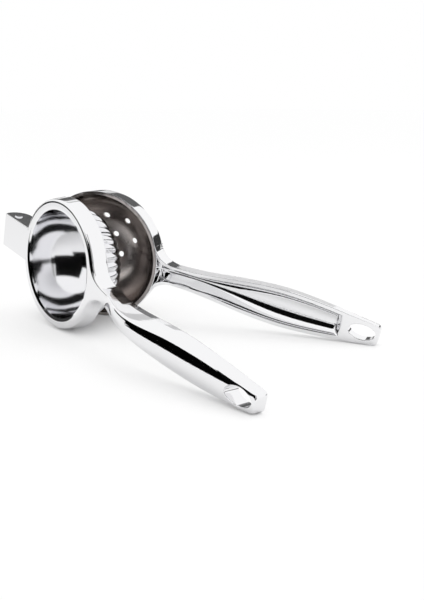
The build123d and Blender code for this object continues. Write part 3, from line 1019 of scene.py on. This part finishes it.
def card_object(name, bm, level):
    """Turns a bmesh into a matt grey card that only mirrors see."""
    mesh = bpy.data.meshes.new(name)
    bm.to_mesh(mesh)
    bm.free()
    material = bpy.data.materials.new(name)
    material.use_nodes = True
    surface = material.node_tree.nodes["Principled BSDF"]
    surface.inputs["Base Color"].default_value = (level, level, level, 1.0)
    surface.inputs["Roughness"].default_value = CARD_ROUGH
    surface.inputs["Specular IOR Level"].default_value = 0.0
    obj = bpy.data.objects.new(name, mesh)
    bpy.context.scene.collection.objects.link(obj)
    obj.data.materials.append(material)
    obj.visible_camera = False
    obj.visible_diffuse = False
    obj.visible_shadow = False
    obj.visible_transmission = False
    return obj


def studio_card(name, start, stop, near, radius, high, level):
    """A card bent round the press, with a foot along the floor from near to radius."""
    bm = bmesh.new()
    a = math.radians(start)
    out = Vector((math.cos(a), math.sin(a), 0))
    lift = Vector((0, 0, CARD_LIFT if high else PAPER_LIFT))
    line = [CARD_MIDDLE + out * near + lift, CARD_MIDDLE + out * radius + lift]
    if high:
        line.append(CARD_MIDDLE + out * radius + Vector((0, 0, high)))
    verts = [bm.verts.new(point) for point in line]
    edges = [bm.edges.new(pair) for pair in zip(verts, verts[1:])]
    bmesh.ops.spin(
        bm,
        geom=verts + edges,
        cent=CARD_MIDDLE,
        axis=(0, 0, 1),
        angle=math.radians(stop - start),
        steps=CARD_STEPS,
        use_merge=False,
    )
    return card_object(name, bm, level)


# name, from and to in degrees, foot from and to, height, grey level
STANDING = (
    ("card_table_paper", -180, 180, 0.0, 1.0, 0.0, 0.84),
    ("card_behind_camera", -99, -35, 0.26, 0.28, 0.256, 0.003),
    ("card_left_foot", -134, -78, 0.125, 0.28, 0.002, 0.001),
    ("card_left_low", -146, -99, 0.21, 0.28, 0.112, 0.001),
    ("card_left_far", -182, -146, 1.0, 1.2, 0.32, 0.04),
    ("card_right_low", -35, -6, 0.5, 0.7, 0.17, 0.02),
    ("card_back_low", 20, 170, 0.8, 0.9, 0.12, 0.04),
)
for card in STANDING:
    studio_card(*card)
print("standing cards", len(STANDING))

# %% [markdown]
# A mirror that curves shows tall things as bands. More cards hang clear of the floor, most of them
# one above the other behind the press. One card with a painted gradient could do the same, but
# plain greys are easy to move and to compare, and they draw the bands across the hollow of the
# dome and along the far handle.

# %% Hung cards
HUNG_FOOT = 0.001

# name, from and to in degrees, distance, low and high edge, grey level
HUNG = (
    ("card_right_grey", -32, -4, 0.8, 0.15, 1.2, 0.35),
    ("card_back_light", 98, 130, 0.9, 0.15, 0.25, 0.66),
    ("card_back_dark", 105, 152, 0.9, 0.25, 0.5, 0.11),
    ("card_back_grey", 105, 152, 0.9, 0.5, 0.605, 0.19),
    ("card_back_pale", 105, 152, 0.9, 0.605, 0.71, 0.84),
    ("card_back_edge", 105, 152, 0.9, 0.71, 0.81, 0.55),
)
for name, start, stop, radius, low, high, level in HUNG:
    card = studio_card(name, start, stop, radius - HUNG_FOOT, radius, high - low, level)
    card.data.transform(Matrix.Translation((0, 0, low)))
print("hung cards", len(HUNG))

# %% [markdown]
# The camera stands where the photograph was taken from: a little above the table, to the front
# right, with the picture set off to the side of the lens axis. Lens shift does that without
# turning the camera, so upright edges keep their direction.

# %% Camera
CAMERA_PLACE = (0.27679, -0.33534, 0.13303)
YAW, PITCH, ROLL = math.radians(40.546), math.radians(90.0 - 14.808), math.radians(-0.889)
lens = bpy.data.cameras.new("camera")
lens.lens = 49.155
lens.sensor_width = 36.0
lens.shift_x = 0.1306
lens.shift_y = 0.0078
camera = bpy.data.objects.new("camera", lens)
aim = Matrix.Rotation(YAW, 4, "Z") @ Matrix.Rotation(PITCH, 4, "X")
aim = aim @ Matrix.Rotation(ROLL, 4, "Z")
camera.matrix_world = Matrix.Translation(CAMERA_PLACE) @ aim
bpy.context.scene.collection.objects.link(camera)
bpy.context.scene.camera = camera
bpy.context.scene.view_settings.view_transform = "Standard"
print("camera at", [round(v, 3) for v in camera.location])
